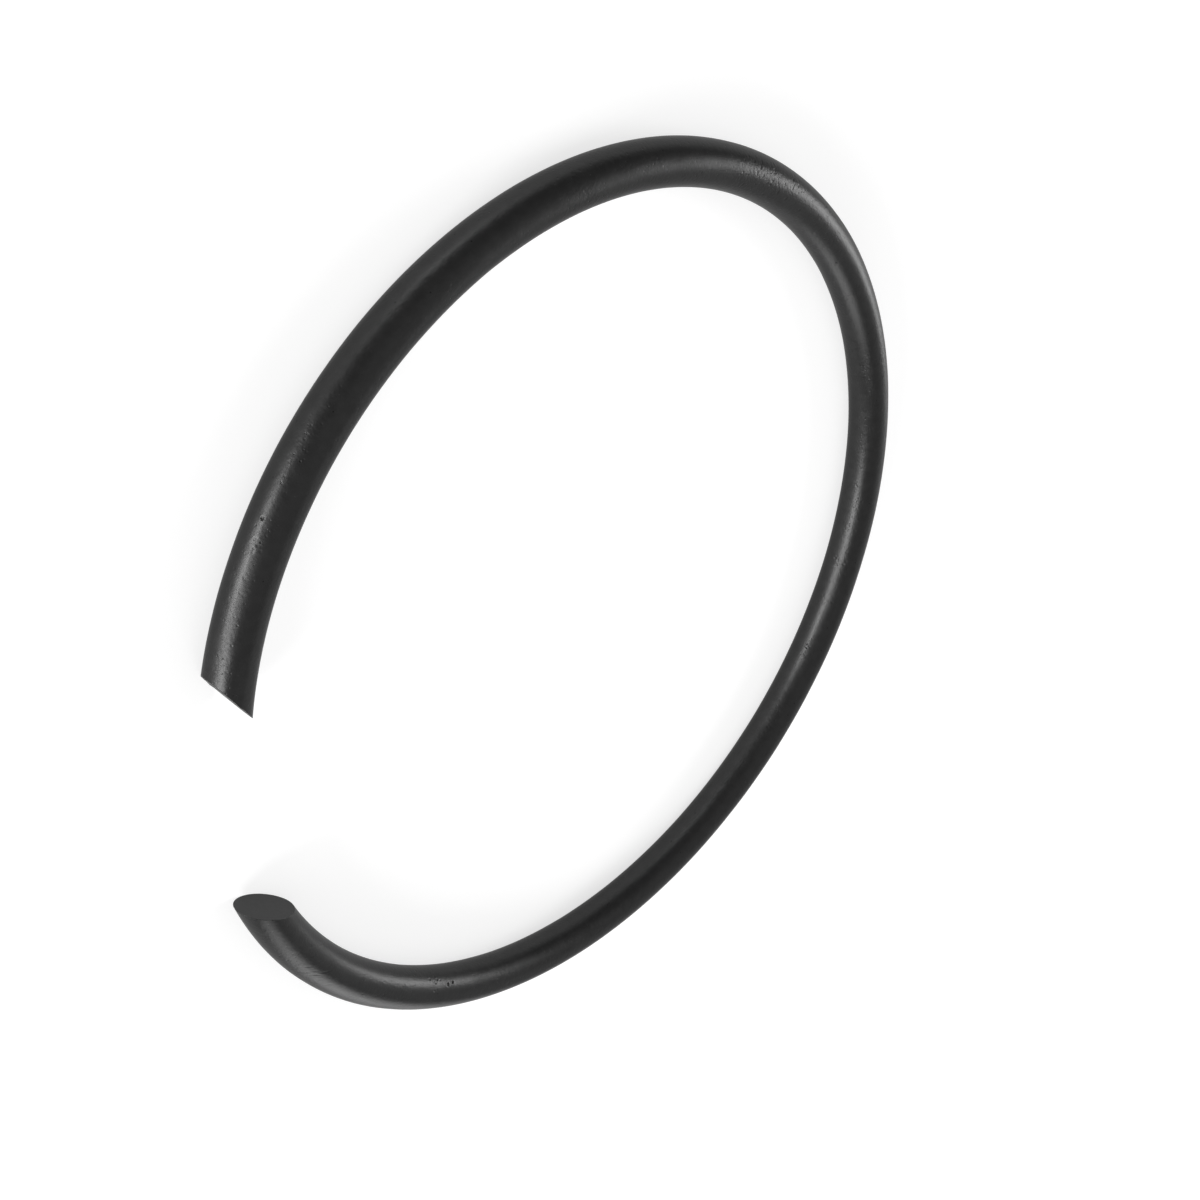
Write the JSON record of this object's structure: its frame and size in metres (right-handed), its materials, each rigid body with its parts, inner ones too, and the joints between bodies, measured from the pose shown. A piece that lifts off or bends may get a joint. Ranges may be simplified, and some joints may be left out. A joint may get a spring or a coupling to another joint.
{
  "type": "circlip retaining ring",
  "caption": "Open ring of round spring wire that snaps into a groove to hold parts on a shaft or in a bore, with ends sheared at a slant.",
  "frame": {"origin": "centre of the ring, in the middle plane of its wire", "axes": "+Z along the ring's axis, +X from its centre to the middle of its gap, +Y across the gap"},
  "size_m": [0.0306, 0.031, 0.0014],
  "materials": {
    "spring_steel": "blackened and oiled drawn spring wire, satin"
  },
  "bodies": {
    "root": {"retaining_ring": "spring_steel"}
  },
  "joints": []
}
